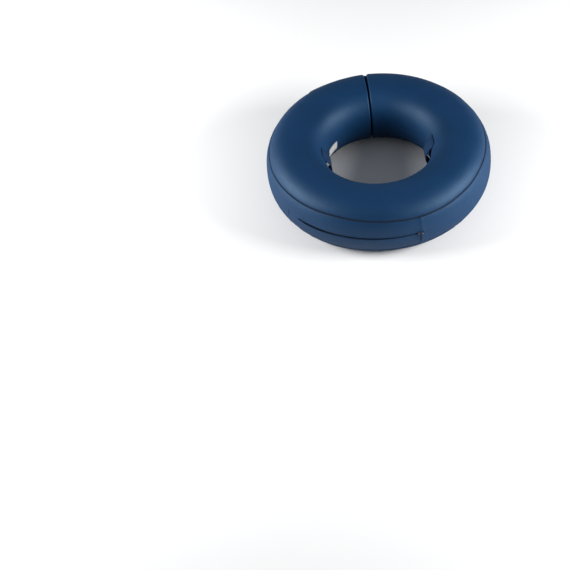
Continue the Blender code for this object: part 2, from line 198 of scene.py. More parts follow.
class Nodes:
    """Short calls for building a material's nodes."""

    def __init__(self, name):
        self.material = bpy.data.materials.new(name)
        self.material.use_nodes = True
        self.tree = self.material.node_tree
        self.shader = self.tree.nodes["Principled BSDF"]

    def add(self, kind, inputs=(), **settings):
        node = self.tree.nodes.new("ShaderNode" + kind)
        for key, value in settings.items():
            setattr(node, key, value)
        for socket, value in dict(inputs).items():
            self.put(node.inputs[socket], value)
        return node

    def put(self, socket, value):
        if isinstance(value, bpy.types.NodeSocket):
            self.tree.links.new(value, socket)
        else:
            socket.default_value = value

    def math(self, operation, a, b=0.0):
        return self.add("Math", {0: a, 1: b}, operation=operation).outputs[0]

    def uv(self):
        return self.add("UVMap", uv_map="Cloth").outputs[0]

    def place(self):
        return self.add("TexCoord").outputs["Object"]

    def attribute(self, name):
        return self.add("Attribute", attribute_name=name).outputs["Fac"]

    def noise(self, vector, scale, detail=2.0, roughness=0.5):
        inputs = {"Vector": vector, "Scale": scale, "Detail": detail, "Roughness": roughness}
        return self.add("TexNoise", inputs).outputs[0]

    def remap(self, value, low, high, to_low, to_high):
        inputs = {0: value, 1: low, 2: high, 3: to_low, 4: to_high}
        return self.add("MapRange", inputs).outputs[0]

    def blend(self, factor, a, b):
        node = self.add("Mix", data_type="RGBA")
        self.put(node.inputs[0], factor)
        self.put(node.inputs[6], a)
        self.put(node.inputs[7], b)
        return node.outputs[2]

    def bump(self, height, distance, strength=1.0, under=None):
        inputs = {"Height": height, "Distance": distance, "Strength": strength}
        if under is not None:
            inputs["Normal"] = under
        return self.add("Bump", inputs).outputs[0]

    def finish(self, **inputs):
        for name, value in inputs.items():
            self.put(self.shader.inputs[name.replace("_", " ")], value)
        return self.material


def weave(nodes, pitch):
    """Height of a plain weave, from 0 to 1, from the Cloth UVs in metres."""
    parts = nodes.add("SeparateXYZ", {0: nodes.uv()})
    u = nodes.math("SINE", nodes.math("MULTIPLY", parts.outputs[0], math.pi / pitch))
    v = nodes.math("SINE", nodes.math("MULTIPLY", parts.outputs[1], math.pi / pitch))
    return nodes.math("ABSOLUTE", nodes.math("MULTIPLY", u, v))


def cover_material():
    """Coated navy cloth: a fine plain weave, faint mottling, and painted shade in its seams and between its
    threads.
    """
    n = Nodes("cover_fabric")
    uv = n.uv()
    broad = n.noise(uv, 14.0, 3.0, 0.55)
    fine = n.noise(uv, 420.0, 3.0, 0.6)
    threads = weave(n, 0.0006)
    # The edge attribute is the mask of painted shade: the seams, the slit's lips, the fold left of the slit
    # and the end caps' rims.
    edge = n.attribute("edge")
    deep, lit = (0.0012, 0.0193, 0.0627, 1), (0.0017, 0.0238, 0.0758, 1)
    # The second colour is the painted shade between the weave's threads.
    flecks, painted_weave_shade = (0.0025, 0.0282, 0.0811, 1), (0.0006, 0.0095, 0.0331, 1)
    # Near-black navy of the painted shade.
    painted_shade_tone = (0.0004, 0.0035, 0.015, 1)
    tone = n.blend(n.remap(broad, 0.3, 0.7, 0.0, 1.0), deep, lit)
    tone = n.blend(n.remap(fine, 0.3, 0.75, 0.0, 0.5), tone, flecks)
    # Painted shade: darker in the hollows between the weave's threads.
    tone = n.blend(n.remap(threads, 0.0, 1.0, 0.25, 0.0), tone, painted_weave_shade)
    # Painted shade: the cloth darkens towards near-black navy where the edge attribute is high.
    tone = n.blend(n.math("MULTIPLY", edge, 0.8), tone, painted_shade_tone)
    rough = n.math("ADD", n.remap(broad, 0.3, 0.7, 0.49, 0.56), n.remap(fine, 0.3, 0.7, -0.03, 0.03))
    grazing = n.math("POWER", n.add("LayerWeight", {"Blend": 0.5}).outputs["Facing"], 3.0)
    for share, rougher in ((edge, 0.3), (grazing, 0.4)):
        rough = n.math("ADD", rough, n.math("MULTIPLY", share, rougher))
    creases = n.bump(n.noise(uv, 55.0, 4.0, 0.6), 0.0012, 0.22)
    grain = n.bump(fine, 0.00025, 0.35, creases)
    normal = n.bump(threads, 0.00015, 0.35, grain)
    return n.finish(Base_Color=tone, Roughness=rough, Normal=normal, Specular_IOR_Level=0.34,
                    Specular_Tint=(0.50, 0.77, 1.0, 1))


def thread_material():
    """Sunk seam: thread with its twist; its near-black tone is partly painted shade of the seam's groove."""
    n = Nodes("seam_thread")
    uv = n.uv()
    tone = n.blend(n.noise(uv, 900.0), (0.0010, 0.0035, 0.013, 1), (0.003, 0.008, 0.026, 1))
    return n.finish(Base_Color=tone, Roughness=n.remap(n.noise(uv, 500.0), 0.0, 1.0, 0.72, 0.9),
                    Normal=n.bump(n.noise(uv, 1500.0), 0.0003, 0.5), Specular_IOR_Level=0.25)


def webbing_material(name, dark, light, pitch=0.0011):
    """Narrow woven webbing: slanting ribs with finer threads across them."""
    n = Nodes(name)
    uv = n.uv()
    parts = n.add("SeparateXYZ", {0: uv})
    u = n.math("MULTIPLY", parts.outputs[0], 2 * math.pi / pitch)
    v = n.math("MULTIPLY", parts.outputs[1], 2 * math.pi / (pitch * 1.6))
    slant = n.math("ADD", u, n.math("MULTIPLY", n.math("SINE", v), 1.2))
    ribs = n.remap(n.math("SINE", slant), -1.0, 1.0, 0.0, 1.0)
    hairs = n.noise(uv, 1600.0, 2.0, 0.6)
    height = n.math("ADD", ribs, n.math("MULTIPLY", hairs, 0.4))
    # Painted shade and highlight: the ribs' hollows darker, their crests lighter.
    tone = n.blend(ribs, dark, light)
    tone = n.blend(n.remap(n.noise(uv, 60.0), 0.35, 0.7, 0.0, 0.25), tone, light)
    return n.finish(Base_Color=tone, Roughness=n.remap(hairs, 0.0, 1.0, 0.62, 0.82),
                    Normal=n.bump(height, 0.00035, 0.8), Specular_IOR_Level=0.3,
                    Specular_Tint=(0.45, 0.7, 1.0, 1))


def pile_material():
    """Hook-and-loop pile."""
    n = Nodes("hook_and_loop")
    uv = n.uv()
    cells = n.add("TexVoronoi", {"Vector": uv, "Scale": 900.0}).outputs[0]
    fuzz = n.noise(uv, 2200.0, 3.0, 0.7)
    height = n.math("ADD", n.math("SUBTRACT", 1.0, cells), n.math("MULTIPLY", fuzz, 0.5))
    # Painted shade: darker deep in the pile than on its tufts.
    tone = n.blend(n.remap(height, 0.3, 1.4, 0.0, 1.0), (0.003, 0.005, 0.010, 1), (0.020, 0.028, 0.050, 1))
    return n.finish(Base_Color=tone, Roughness=n.remap(fuzz, 0.0, 1.0, 0.85, 0.98),
                    Normal=n.bump(height, 0.0007, 1.0), Specular_IOR_Level=0.3)


def plastic_material(name, dark, light, rough=0.3, through=0.0):
    """Moulded plastic with faint clouds and scuffs."""
    n = Nodes(name)
    cloud = n.noise(n.place(), 120.0, 3.0)
    scuffs = n.noise(n.place(), 900.0, 4.0, 0.65)
    tone = n.blend(n.remap(cloud, 0.3, 0.7, 0.0, 1.0), dark, light)
    return n.finish(Base_Color=tone, Roughness=n.remap(scuffs, 0.3, 0.75, rough - 0.06, rough + 0.14),
                    Normal=n.bump(scuffs, 0.0002, 0.15), Subsurface_Weight=through,
                    Subsurface_Radius=(0.003, 0.003, 0.003), IOR=1.45)


def metal_material():
    """Tarnished nickel, rubbed bright in places."""
    n = Nodes("zip_metal")
    wear = n.noise(n.place(), 700.0, 4.0, 0.7)
    tone = n.blend(n.remap(wear, 0.45, 0.75, 0.0, 1.0), (0.10, 0.12, 0.15, 1), (0.34, 0.37, 0.42, 1))
    return n.finish(Base_Color=tone, Roughness=n.remap(wear, 0.3, 0.7, 0.3, 0.5), Metallic=0.8,
                    Normal=n.bump(wear, 0.0001, 0.3))


def satin_material():
    """Blank satin label."""
    n = Nodes("label_satin")
    uv = n.uv()
    parts = n.add("SeparateXYZ", {0: uv})
    lines = n.math("SINE", n.math("MULTIPLY", parts.outputs[1], 2 * math.pi / 0.0005))
    tone = n.blend(n.noise(uv, 200.0), (0.46, 0.46, 0.44, 1), (0.56, 0.56, 0.54, 1))
    return n.finish(Base_Color=tone, Roughness=n.remap(n.noise(uv, 600.0), 0.0, 1.0, 0.42, 0.6),
                    Normal=n.bump(lines, 0.0001, 0.4), Sheen_Weight=0.2)


COVER = cover_material()
THREAD = thread_material()
STRAP = webbing_material("strap_webbing", (0.003, 0.012, 0.038, 1), (0.010, 0.034, 0.092, 1))
TAPE = webbing_material("zip_tape", (0.0004, 0.002, 0.007, 1), (0.0012, 0.006, 0.019, 1), 0.0008)
STITCH = webbing_material("stitching", (0.006, 0.022, 0.068, 1), (0.022, 0.060, 0.150, 1), 0.0004)
PILE = pile_material()
METAL = metal_material()
COIL = plastic_material("zip_coil", (0.003, 0.004, 0.008, 1), (0.008, 0.010, 0.018, 1), 0.35)
VINYL = plastic_material("valve_vinyl", (0.29, 0.33, 0.38, 1), (0.38, 0.43, 0.48, 1), 0.30, 0.3)
GRIP = plastic_material("grip_rubber", (0.006, 0.009, 0.016, 1), (0.012, 0.016, 0.026, 1), 0.5)
FILM = plastic_material("bladder_film", (0.34, 0.39, 0.44, 1), (0.42, 0.47, 0.52, 1), 0.25)
SATIN = satin_material()


# ---- riding on bodies

def cross_flex(obj):
    """Bakes a piece's placement into its mesh."""
    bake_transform(obj)


def declare(obj, body, slot, *nodes):
    """Puts a piece on its body, or bakes its placement for the left and right sides, and hides the CAD nodes
    that it stands for.
    """
    if body in ("left", "right"):
        cross_flex(obj)
    elif body:
        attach(obj, body)
    if nodes:
        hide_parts(*nodes)


# ---- cover

def softness(azimuth, along):
    """Slow swells of the inflated fabric."""
    x = np.radians(azimuth) * TUBE_RADIUS
    return 0.00050 * noise(x / 0.085, along / 0.075, 3) + 0.00020 * noise(x / 0.034, along / 0.030, 4)


def rolled(distance, radius, wall=0.0):
    """How far a panel's edge has turned in, at a distance from it; the edge itself drops by wall more."""
    t = np.clip(1 - distance / radius, 0, 1)
    return -(radius * (1 - np.sqrt(np.maximum(1 - t * t, 0)))) - wall * (distance <= 1e-9)


def near_seam(azimuth, distance, seed):
    """The valley, the puckers and the turned edge beside a sewn seam, at a distance from the seam."""
    valley_depth, valley_width = 0.0010, 0.0042
    pucker_height, pucker_length, patch_length = 0.00065, 0.0065, 0.045
    x = np.radians(azimuth) * TUBE_RADIUS
    reach = np.exp(-distance / 0.0060) * (1 - np.exp(-distance / 0.0016))
    patches = noise(x / patch_length, np.full_like(distance, 7.5), seed + 1)
    puckers = noise(x / pucker_length, distance / 0.02 + 0.5, seed) * reach
    puckers *= pucker_height * np.clip(0.45 + 0.75 * patches, 0.1, 1.2)
    valley = -valley_depth * np.exp(-distance / valley_width)
    return valley + puckers + rolled(distance, SEAM_ROLL, EDGE_DROP)


def seam_shade(distance):
    """How much painted shade darkens the cloth near its edge in a seam."""
    return np.exp(-np.maximum(distance - EDGE_DROP, 0) / 0.0009)


def end_roll(azimuth):
    """The cover's rounded edge at the split."""
    distance = np.radians(ARM_END - np.abs(azimuth)) * TUBE_RADIUS
    return rolled(np.maximum(distance, 0), END_ROLL)


def rounding_steps(radius, count=7):
    """Distances from an edge that resolve its rounding."""
    return radius * (1 - np.cos(np.radians(np.linspace(0, 90, count))))


SEAM_ROLL = 0.0011  # radius of a panel's rounded edge in a seam
EDGE_DROP = 0.0006  # how much deeper its cut edge lies
SEAM_GAP = 0.0003  # from a seam's centre to each panel's edge
EDGE_STEPS = np.concatenate([[0.0], rounding_steps(SEAM_ROLL)[1:],
                             SEAM_ROLL + np.cumsum([0.0006, 0.0009, 0.0013, 0.0018, 0.0024, 0.003])])
END_STEPS = ARM_END - np.degrees(rounding_steps(END_ROLL) / TUBE_RADIUS)
AZIMUTHS = np.unique(np.round(np.concatenate([
    np.arange(-177.6, 177.7, 0.8), [SPLIT_FRONT], END_STEPS, -END_STEPS, np.arange(-59.6, -42, 0.3),
    np.arange(13.0, 21.0, 0.25), VALVE_AT + np.arange(-14, 15) * 0.3]), 6))
WANDER = np.array([(-115, 0), (-95, -1.6), (-80, -2.7), (-70, -1.5), (-60, -0.4), (-50, -0.1), (-40, 1.0),
                   (-30, 2.0), (-20, 0.9), (-10, -0.4), (0, -1.3), (10, -3.1), (20, -3.2), (30, -3.0),
                   (40, -1.4), (50, -0.6), (60, 1.1), (70, 1.4), (80, 1.3), (100, 0.6), (120, 0)])


def seam_along(azimuth):
    """Where the seam between the top and the band runs. It wanders by WANDER's (azimuth, millimetres)."""
    near = np.stack([np.interp(azimuth + shift, *WANDER.T) for shift in (-5, -2.5, 0, 2.5, 5)])
    return along_at(SEAM) + np.average(near, axis=0, weights=(1, 2, 3, 2, 1)) / 1000


def panel_along(low, high, step=0.0035):
    """Distances along the section across a panel at each azimuth, fine at both of its edges."""
    low, high = np.broadcast_arrays(np.reshape(low, (-1, 1)), np.reshape(high, (-1, 1)))
    reach = EDGE_STEPS[-1]
    count = int((high - low - 2 * reach).mean() / step)
    share = np.linspace(0, 1, count)[1:-1]
    middle = low + reach + (high - low - 2 * reach) * share
    return np.concatenate([low + EDGE_STEPS, middle, (high - EDGE_STEPS)[:, ::-1]], axis=1)


def whole_normals(points, faces):
    """Vertex normals of the whole sheet, before it is split."""
    data = bpy.data.meshes.new("whole")
    data.from_pydata([tuple(p) for p in points], [], [tuple(f) for f in faces])
    data.update()
    normals = np.zeros(len(data.vertices) * 3, np.float32)
    data.vertex_normals.foreach_get("vector", normals)
    bpy.data.meshes.remove(data)
    return normals.reshape(-1, 3)


def skin(kind, az, s, points, edge, keep=None):
    """Cover fabric from a grid, as a left and a right piece that share normals where they meet."""
    rows, columns = az.shape
    faces = grid_faces(rows, columns)
    if keep is not None:
        faces = faces[keep.reshape(-1)]
    points = points.reshape(-1, 3)
    normals = whole_normals(points, faces)
    uv = np.stack([np.radians(az) * TUBE_RADIUS, s], axis=-1).reshape(-1, 2)
    on_right = az[:, 0][faces[:, 0] // columns] >= SPLIT_FRONT - 1e-6
    for side, chosen in (("left", faces[~on_right]), ("right", faces[on_right])):
        used, index = np.unique(chosen, return_inverse=True)
        obj = mesh_object(f"{kind}_{side}_skin", points[used], index.reshape(-1, 4), COVER)
        set_uv(obj, uv[used])
        set_attribute(obj, "edge", edge.reshape(-1)[used])
        obj.data.normals_split_custom_set_from_vertices([tuple(v) for v in normals[used]])
        declare(obj, side, "cover_fabric", f"{kind}_front", f"{kind}_{side}")


def cover():
    """Top, bottom, side band, their seams and the two ends."""
    neck = np.full(len(AZIMUTHS), along_at(NECK_SEAM))
    lower = np.full(len(AZIMUTHS), -along_at(SEAM))
    for kind, low, high, seeds in (
            ("cover_top", seam_along(AZIMUTHS) + SEAM_GAP, neck - SEAM_GAP, (11, 21)),
            ("cover_bottom", neck - GIRTH + SEAM_GAP, lower - SEAM_GAP, (31, 41))):
        s = panel_along(low, high)
        az = np.repeat(AZIMUTHS[:, None], s.shape[1], axis=1)
        to_low, to_high = s - low[:, None], high[:, None] - s
        outset = softness(az, s) + near_seam(az, to_low, seeds[0]) + near_seam(az, to_high, seeds[1])
        # Painted shade near the seams, carried by the edge attribute.
        edge = seam_shade(np.minimum(to_low, to_high))
        skin(kind, az, s, on_ring(az, s, outset + end_roll(az)), edge)
    side_band()
    for side in ("left", "right"):
        azimuths = side_azimuths(side)
        seam_thread(side, "upper", azimuths, seam_along(azimuths))
        for kind, angle in (("lower", 360 - SEAM), ("neck", NECK_SEAM)):
            seam_thread(side, kind, azimuths, np.full_like(azimuths, along_at(angle)))
        end_cap(side)


def slit_half(azimuth):
    """Half the slit's height at an azimuth: widest near its left end, slim towards its right."""
    left = np.clip((azimuth - ZIP_FROM) / 2.2, 0, 1)
    right = np.clip((ZIP_TO - azimuth) / 0.5, 0, 1)
    size = np.interp(azimuth, (-50, -42, -20, 6, 16), (0.0016, SLIT_HALF, SLIT_HALF, 0.00115, 0.00115))
    return size * np.sqrt(left * (2 - left)) * np.sqrt(right * (2 - right))


def slit_rise(azimuth):
    """How far the slit's middle lies above the zip's: it bows up a little in its left half."""
    return np.interp(azimuth, (-52, -42, -20, -8, 4), (0.0006, 0.0008, 0.0008, 0.0003, 0))


def slit_lift(azimuth):
    """How far the slit's upper and lower lips stand off: the lower one only near the left end."""
    left = np.interp(azimuth, (-50, -46, -36, -26), (0.5, 1, 0.8, 0))
    return 0.0007 - 0.0004 * left, -0.00045 + 0.00155 * left


def tack(azimuth):
    """The band's stiff fold at the slit's right end: its right side faces the light."""
    height, steep, gentle = 0.0011, 0.0030, 0.010
    x = np.radians(azimuth - TACK_AT) * OUTER
    return height * np.where(x > 0, np.exp(-np.maximum(x, 0) / gentle), np.exp(np.minimum(x, 0) / steep))


def short_fold(azimuth, up):
    """Small upright fold left of the slit, from 0 to 1."""
    x = np.radians(azimuth - FOLD_AT) * OUTER
    return np.exp(-((x / 0.0012) ** 2)) * np.exp(-(((up + 0.0005) / 0.005) ** 2))


def zip_puckers(azimuth, up):
    """Short gathers above the slit's left end, a bump above its right one and the fold left of it."""
    x, raised = np.radians(azimuth + 47.3) * OUTER, up - 0.0085
    above = np.exp(-((x / 0.0062) ** 4)) * np.exp(-((raised / 0.0048) ** 4))
    gathers = 0.00035 * above * np.cos(2 * math.pi * raised / 0.0026)
    x, raised = np.radians(azimuth - 15.7) * OUTER, up - 0.0035
    bump = 0.0005 * np.exp(-((x / 0.0014) ** 2)) * np.exp(-((raised / 0.004) ** 2))
    return gathers + bump - 0.0009 * short_fold(azimuth, up)


def valve_hole(az, s):
    """Draws the grid's places inside the valve's hole out to its rim, and says which faces are left."""
    distance = np.hypot(np.radians(az - VALVE_AT) * OUTER, s)
    outside = distance >= VALVE_HOLE
    kept = outside[1:, 1:] | outside[:-1, 1:] | outside[1:, :-1] | outside[:-1, :-1]
    stretch = np.where(outside, 1.0, VALVE_HOLE / np.maximum(distance, 1e-6))
    return VALVE_AT + (az - VALVE_AT) * stretch, s * stretch, kept


def side_band():
    """The band between the outer seams, with the zip's slit as a gap whose lips turn in."""
    high = (seam_along(AZIMUTHS) - SEAM_GAP)[:, None]
    low = -along_at(SEAM) + SEAM_GAP
    # fold is how strongly painted shade darkens the small fold left of the slit.
    lip, cloth, fold = 0.0007, 0.00045, 0.45
    beyond = lip + np.array([0.0004, 0.001, 0.0018, 0.0028, 0.004])
    lips = np.concatenate([[0.0], rounding_steps(lip, 6), beyond])
    count = len(lips)
    half = slit_half(AZIMUTHS)[:, None]
    share = half / half.max()
    start = lips[-1] + SLIT_HALF

    def across(end):
        """Distances from the slit's middle to a seam."""
        steps = np.linspace(0, 1, 18)[1:-1]
        middle = start + (end - EDGE_STEPS[-1] - start) * steps
        return np.concatenate([lips + half, middle, (end - EDGE_STEPS)[:, ::-1]], axis=1)

    upper, lower = across(high), across(np.full_like(high, -low))
    turned_in = np.zeros_like(upper)
    turned_in[:, :count] = rolled(lips, lip)[None, :] * share
    turned_in[:, 0] -= cloth * share[:, 0]
    up_lift, low_lift = (v[:, None] * share for v in slit_lift(AZIMUTHS))

    s = np.concatenate([-lower[:, ::-1], upper], axis=1)
    s += slit_rise(AZIMUTHS)[:, None] * np.clip(1 - np.abs(s) / 0.024, 0, 1)
    az, s, keep = valve_hole(np.repeat(AZIMUTHS[:, None], s.shape[1], axis=1), s)
    outset = softness(az, s) + near_seam(az, s - low, 51) + near_seam(az, high - s, 61)
    outset += tack(az) + zip_puckers(az, s) + end_roll(az)
    outset += np.concatenate([(turned_in + low_lift * np.exp(-(lower - half) / 0.0024))[:, ::-1],
                              turned_in + up_lift * np.exp(-(upper - half) / 0.004)], axis=1)
    # Painted shade: the cloth darkens towards the slit's lips, where the gap lies in shade.
    painted_slit_shade = [np.exp(-(side - half) / 0.0006) * share for side in (lower, upper)]
    edge = np.maximum(seam_shade(np.minimum(high - s, s - low)),
                      np.concatenate([painted_slit_shade[0][:, ::-1], painted_slit_shade[1]], axis=1))
    # Painted shade in the small upright fold left of the slit.
    edge = np.maximum(edge, fold * short_fold(az, s))
    keep[:, s.shape[1] // 2 - 1] = False
    skin("side_band", az, s, on_ring(az, s, outset), edge, keep)


def side_azimuths(side):
    """Azimuths of a side's pieces, which meet the other side's in front."""
    past = AZIMUTHS - SPLIT_FRONT
    return AZIMUTHS[past <= 1e-6] if side == "left" else AZIMUTHS[past >= -1e-6]


def seam_thread(side, kind, azimuth, along):
    """Cord down in a seam; its near-black tone is partly painted shade of the seam's groove."""
    az, turn = np.meshgrid(azimuth, np.radians(np.arange(0, -360, -45)), indexing="ij")
    thick, depth = 0.0011, 0.0025
    outset = thick * np.sin(turn) - depth + end_roll(az)
    points = on_ring(az, along[:, None] + thick * np.cos(turn), outset).reshape(-1, 3)
    obj = mesh_object(f"{kind}_seam_{side}_thread", points, grid_faces(*az.shape, True), THREAD)
    set_uv(obj, np.stack([np.radians(az) * TUBE_RADIUS, turn * thick], axis=-1))
    declare(obj, side, "seam_thread", f"{kind}_seam_front", f"{kind}_seam_{side}")


def end_cap(side):
    """The cover's closed end at the split: a disc of the same fabric that bulges a little."""
    sign = -1 if side == "left" else 1
    bulge, gathers = 0.0008, 0.00025
    s = np.linspace(0, GIRTH, 121)[:-1]
    shares = np.array([1.0, 0.985, 0.965, 0.94, 0.90, 0.82, 0.70, 0.55, 0.40, 0.25, 0.12, 0.03])
    r, h, nr, nh = section(s)
    rim_r, rim_h = r - nr * END_ROLL, h - nh * END_ROLL
    turn = math.radians(sign * (ARM_END - 0.02))
    rows, uv = [], []
    for share in shares:
        radius = TUBE_RADIUS + (rim_r - TUBE_RADIUS) * share
        height = np.maximum(MID + (rim_h - MID) * share, 0.0004)
        gathered = gathers * (1 - share) * share ** 6 * np.cos(np.arange(len(s)) * math.pi / 2)
        out = sign * (bulge * (1 - share ** 4) + gathered)
        x = radius * math.sin(turn) + out * math.cos(turn)
        y = -radius * math.cos(turn) + out * math.sin(turn)
        rows.append(np.stack([x, y, height], axis=-1))
        uv.append(np.stack([radius, height], axis=-1))
    count = len(s)
    faces = [tuple(f) for f in grid_faces(len(shares), count, True)]
    faces.append(tuple(range(len(shares) * count - 1, (len(shares) - 1) * count - 1, -1)))
    obj = mesh_object(f"end_panel_{side}_skin", np.reshape(rows, (-1, 3)), faces, COVER)
    face_outward(obj, tangent(sign * ARM_END) * sign)
    set_uv(obj, uv)
    # Painted shade at the cap's rim, where it turns into the rolled edge.
    set_attribute(obj, "edge", np.repeat(np.exp(-(1 - shares) * 40), count))
    declare(obj, f"{side}_arm", "cover_fabric", f"end_panel_{side}")


def bladder(side):
    """Air bladder inside the cover: a film tube with a weld ridge round its outside and its neck side."""
    sign = -1 if side == "left" else 1
    end, end_radius, inset, zip_room, weld_height = 178.6, 0.018, 0.0036, 0.003, 0.0010
    near_end = end - np.degrees(rounding_steps(end_radius, 10) / TUBE_RADIUS)
    azimuth = np.unique(np.concatenate([np.linspace(SPLIT_FRONT, sign * 168, 70), sign * near_end]))
    weld, rest = np.array([-0.003, -0.0012, 0, 0.0012, 0.003]), np.linspace(0.006, GIRTH - 0.006, 60)
    along = np.unique(np.round(np.concatenate([weld % GIRTH, WALL + weld, rest]), 6))
    az, s = np.meshgrid(azimuth, along, indexing="ij")
    from_middle = np.minimum(s, GIRTH - s)
    from_weld = np.minimum(np.abs(s - WALL), from_middle)
    to_end = np.maximum(np.radians(end - np.abs(az)) * TUBE_RADIUS, 0)
    outset = -inset - zip_room * np.exp(-((from_middle / 0.014) ** 2))
    outset += weld_height * np.exp(-((from_weld / 0.0011) ** 2)) + rolled(to_end, end_radius)
    points = on_ring(az, s, outset).reshape(-1, 3)
    faces = [tuple(f) for f in grid_faces(len(azimuth), len(along), True)]
    last = 0 if side == "left" else (len(azimuth) - 1) * len(along)
    cap = tuple(range(last, last + len(along)))
    faces.append(cap if side == "left" else cap[::-1])
    obj = mesh_object(f"bladder_{side}_film", points, faces, FILM)
    declare(obj, side, "bladder_film", "bladder_front", f"bladder_{side}")


# ---- flat pieces on the ring, and stitches

def plate_lines(half, corner, edge, step):
    """Places of a plate's grid lines from one side to the other: fine at its edges and corners."""
    reach = max(corner, 1.5 * edge)
    near = np.concatenate([rounding_steps(edge, 4), np.linspace(edge, reach, 5)[1:]])
    inner = half - reach
    count = max(3, int(2 * inner / step) + 2)
    return np.concatenate([near - half, np.linspace(-inner, inner, count)[1:-1], (half - near)[::-1]])


def plate(name, azimuths, along, bottom, thick, material, corner=0.003, radius=OUTER, step=0.003,
          relief=None):
    """Closed flat piece that follows the ring, with round corners and edges.

    bottom is its underside's outset, a number or a function of azimuth; relief raises its top.
    """
    half_x = math.radians(azimuths[1] - azimuths[0]) / 2 * radius
    half_y = (along[1] - along[0]) / 2
    lines = [plate_lines(half, corner, thick / 2, step) for half in (half_x, half_y)]
    x, y = np.meshgrid(*lines, indexing="ij")
    px = np.clip((np.abs(x) - half_x + corner) / corner, 0, 1)
    py = np.clip((np.abs(y) - half_y + corner) / corner, 0, 1)
    cornered = (px > 0) & (py > 0)
    qx, qy = px * np.sqrt(1 - py ** 2 / 2), py * np.sqrt(1 - px ** 2 / 2)
    to_side = np.minimum(half_x - np.abs(x), half_y - np.abs(y))
    to_edge = np.where(cornered, corner * (1 - np.hypot(qx, qy)), to_side)
    x = np.where(cornered, np.sign(x) * (half_x - corner + qx * corner), x)
    y = np.where(cornered, np.sign(y) * (half_y - corner + qy * corner), y)
    azimuth, s = np.mean(azimuths) + np.degrees(x / radius), np.mean(along) + y
    round_ = np.sqrt(1 - np.clip(1 - to_edge / (thick / 2), 0, 1) ** 2)
    middle = (bottom(azimuth) if callable(bottom) else bottom) + thick / 2
    raised = relief(azimuth, s) if relief else 0
    top = on_ring(azimuth, s, middle + (thick / 2 + raised) * round_).reshape(-1, 3)
    under = on_ring(azimuth, s, middle - thick / 2 * round_).reshape(-1, 3)

    rows, columns = x.shape
    inside = np.zeros((rows, columns), bool)
    inside[1:-1, 1:-1] = True
    inside = inside.reshape(-1)
    index = np.arange(rows * columns)
    index[inside] = rows * columns + np.arange(inside.sum())
    faces = grid_faces(rows, columns)
    faces = np.concatenate([faces, index[faces][:, ::-1]])
    obj = mesh_object(name, np.concatenate([top, under[inside]]), faces, material)
    uv = np.stack([x, y], axis=-1).reshape(-1, 2)
    set_uv(obj, np.concatenate([uv, uv[inside]]))
    return obj


def threads(name, starts, ends, normals, body, slot="seam_thread", thick=0.00028):
    """Stitches: short arched threads from starts to ends, standing off a surface along normals."""
    starts, ends, normals = (np.asarray(v, float) for v in (starts, ends, normals))
    side = np.cross(ends - starts, normals)
    side /= np.linalg.norm(side, axis=1, keepdims=True)
    turns = np.radians(np.arange(0, 360, 60))
    sizes = ((0.0, 0.45), (0.15, 0.9), (0.5, 1.0), (0.85, 0.9), (1.0, 0.45))
    rings = []
    for share, size in sizes:
        centre = starts + (ends - starts) * share + normals * thick * (1.3 * math.sin(math.pi * share) - 0.4)
        ring = [centre + (side * math.cos(t) + normals * math.sin(t)) * thick * size for t in turns]
        rings.append(np.stack(ring, axis=1))
    verts = np.stack(rings, axis=1)
    per = len(sizes) * len(turns)
    faces = [tuple(i + k * per for i in face) for k in range(len(starts))
             for face in tube_faces(len(sizes), len(turns))]
    obj = mesh_object(name, verts.reshape(-1, 3), faces, STITCH)
    uv = np.meshgrid(np.arange(len(sizes)) * 0.0005, np.arange(len(turns)) * 0.0002, indexing="ij")
    set_uv(obj, np.tile(np.stack(uv, axis=-1).reshape(-1, 2), (len(starts), 1)))
    declare(obj, body, slot)


def stitched(name, routes, outset, body, radius=OUTER, pitch=0.0030, gap=0.0008, **rest):
    """Rows of stitches along routes of (azimuth, distance along the section) on the ring."""
    starts, ends, normals = [], [], []
    for route in routes:
        for (a0, s0), (a1, s1) in zip(route, route[1:]):
            length = math.hypot(math.radians(a1 - a0) * radius, s1 - s0)
            count = max(1, round(length / pitch))
            for k in range(count):
                t0, t1 = (k + gap / pitch / 2) / count, (k + 1 - gap / pitch / 2) / count
                for t, out in ((t0, starts), (t1, ends)):
                    out.append(on_ring(a0 + (a1 - a0) * t, s0 + (s1 - s0) * t, outset))
                middle = (a0 + (a1 - a0) * (t0 + t1) / 2, s0 + (s1 - s0) * (t0 + t1) / 2)
                normal = on_ring(*middle, outset + 1e-3) - on_ring(*middle, outset)
                normals.append(normal / np.linalg.norm(normal))
    threads(name, starts, ends, normals, body, **rest)


def frame_route(a0, a1, s0, s1):
    return [(a0, s0), (a1, s0), (a1, s1), (a0, s1), (a0, s0)]


def ribbon(name, path, across, width, thick, material):
    """Closed strip along a path; across is the direction of its width."""
    path, across = np.asarray(path, float), np.asarray(across, float)
    along = np.gradient(path, axis=0)
    along /= np.linalg.norm(along, axis=1, keepdims=True)
    normal = np.cross(along, across)
    normal /= np.linalg.norm(normal, axis=1, keepdims=True)
    half, t = width / 2 - thick / 2, thick / 2
    turns = np.radians([90, 45, 0, -45, -90])
    profile = [(half + t * math.cos(a), t * math.sin(a)) for a in turns]
    profile += [(x, -t) for x in (half / 2, 0, -half / 2)]
    profile += [(-half - t * math.cos(a), -t * math.sin(a)) for a in turns]
    profile += [(x, t) for x in (-half / 2, 0, half / 2)]
    points = np.stack([path + across * x + normal * y for x, y in profile], axis=1)
    rows, columns = points.shape[:2]
    obj = mesh_object(name, points.reshape(-1, 3), tube_faces(rows, columns), material)
    length = np.concatenate([[0], np.cumsum(np.linalg.norm(np.diff(path, axis=0), axis=1))])
    girth = np.concatenate([[0], np.cumsum(np.hypot(*np.diff(np.array(profile), axis=0).T))])
    set_uv(obj, np.stack(np.meshgrid(length, girth, indexing="ij"), axis=-1))
    solid_outward(obj)
    return obj


